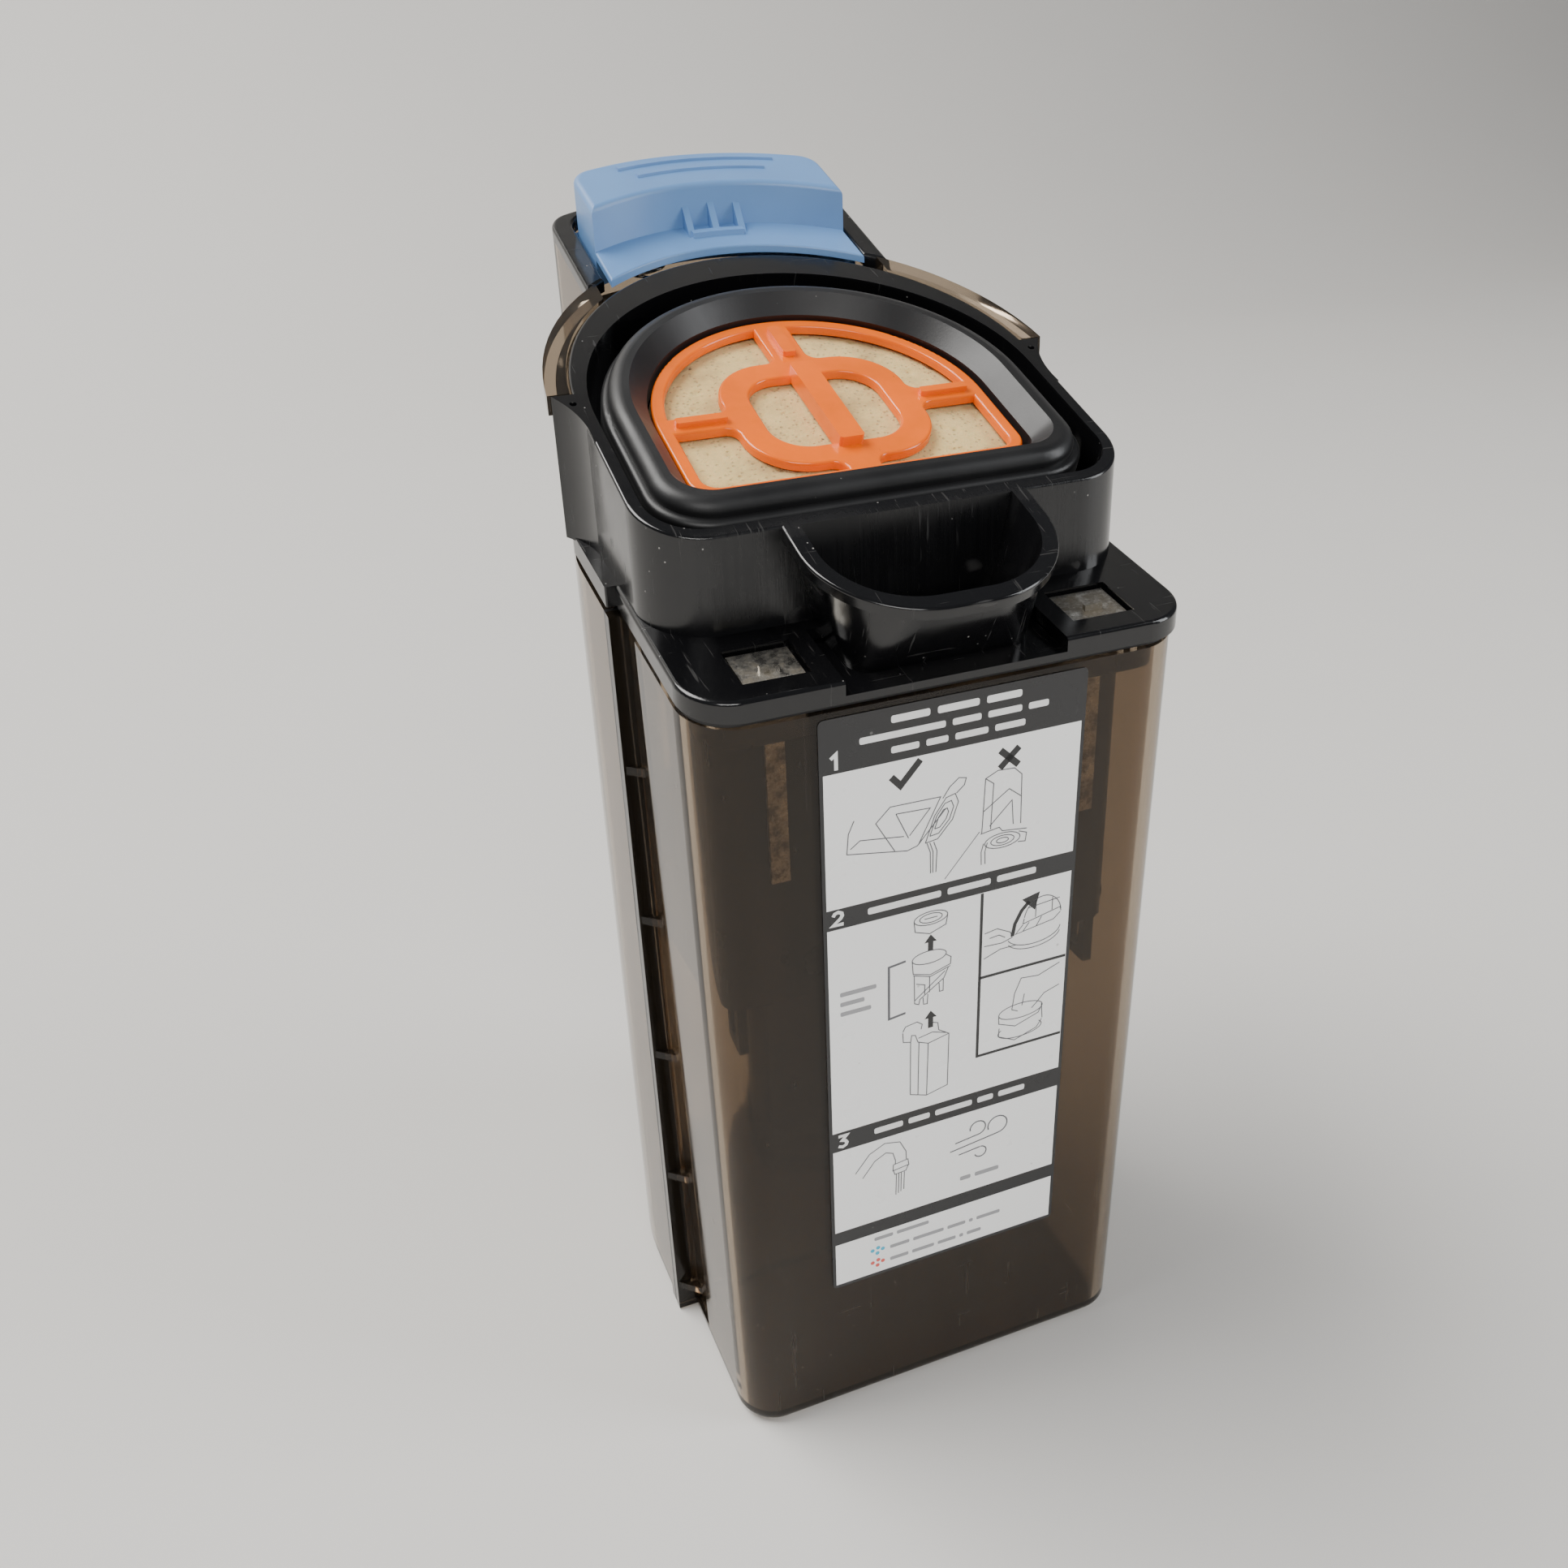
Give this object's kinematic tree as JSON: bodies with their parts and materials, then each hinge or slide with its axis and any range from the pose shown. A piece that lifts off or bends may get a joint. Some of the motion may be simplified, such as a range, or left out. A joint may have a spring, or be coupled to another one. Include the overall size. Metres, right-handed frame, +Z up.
{
  "type": "dirty water tank",
  "caption": "Removable dirty-water tank of an upright wet and dry floor washer: smoke shell, black pour lid with strainer, D-shaped foam filter under a hinged grille, and a push latch.",
  "frame": {"origin": "middle of the floor face, between the front shell and the round back", "axes": "+Z up, +Y towards the round back and the latch, +X to the right seen from the front"},
  "size_m": [0.0924, 0.1273, 0.2196],
  "materials": {
    "smoke_plastic": "clear smoke tint, scuffed",
    "black_plastic": "polished black, scuffed",
    "dark_plastic": "fine satin",
    "black_rubber": "satin",
    "blue_plastic": "satin, light steel blue",
    "orange_plastic": "polished orange",
    "foam": "open-cell foam, stained",
    "contact_steel": "dull, tarnished",
    "steel": "bright",
    "label": "printed film"
  },
  "bodies": {
    "tank": {"tank_body": "smoke_plastic", "rear_cover": "smoke_plastic", "seam_seal": "black_rubber", "instruction_label": "label", "inlet_seal": "black_rubber", "intake_pipe": "smoke_plastic", "intake_hood": "black_plastic", "latch_frame": "black_plastic", "spring_plate": "black_plastic", "latch_springs": "steel", "latch_screws": "steel"},
    "latch": {"latch_button": "blue_plastic"},
    "lid": {"lid_collar": "black_plastic", "lid_seal": "black_rubber", "contact_left": "contact_steel", "contact_right": "contact_steel", "probe_grommets": "black_rubber", "strainer_basket": "dark_plastic", "debris_grid": "dark_plastic", "seat_seal": "black_rubber"},
    "filter": {"filter_frame": "black_plastic", "filter_mesh": "dark_plastic", "foam_filter": "foam", "filter_gasket": "black_rubber"},
    "grille": {"filter_grille": "orange_plastic"}
  },
  "joints": [
    {"name": "latch_press", "type": "slide", "parent": "tank", "child": "latch", "axis": [0, 0, -1], "range_m": [0, 0.004], "stiffness_N_per_m": 600, "springref_m": -0.002, "deforming": ["latch_springs"]},
    {"name": "lid_lift", "type": "slide", "parent": "tank", "child": "lid", "axis": [0, 0, 1], "range_m": [0, 0.12]},
    {"name": "filter_pull", "type": "slide", "parent": "lid", "child": "filter", "axis": [0, -0.347, 0.9379], "range_m": [0, 0.03]},
    {"name": "grille_hinge", "type": "hinge", "parent": "filter", "child": "grille", "pos_m": [0, -0.01756, 0.17569], "axis": [1, 0, 0], "range_deg": [0, 85]}
  ]
}
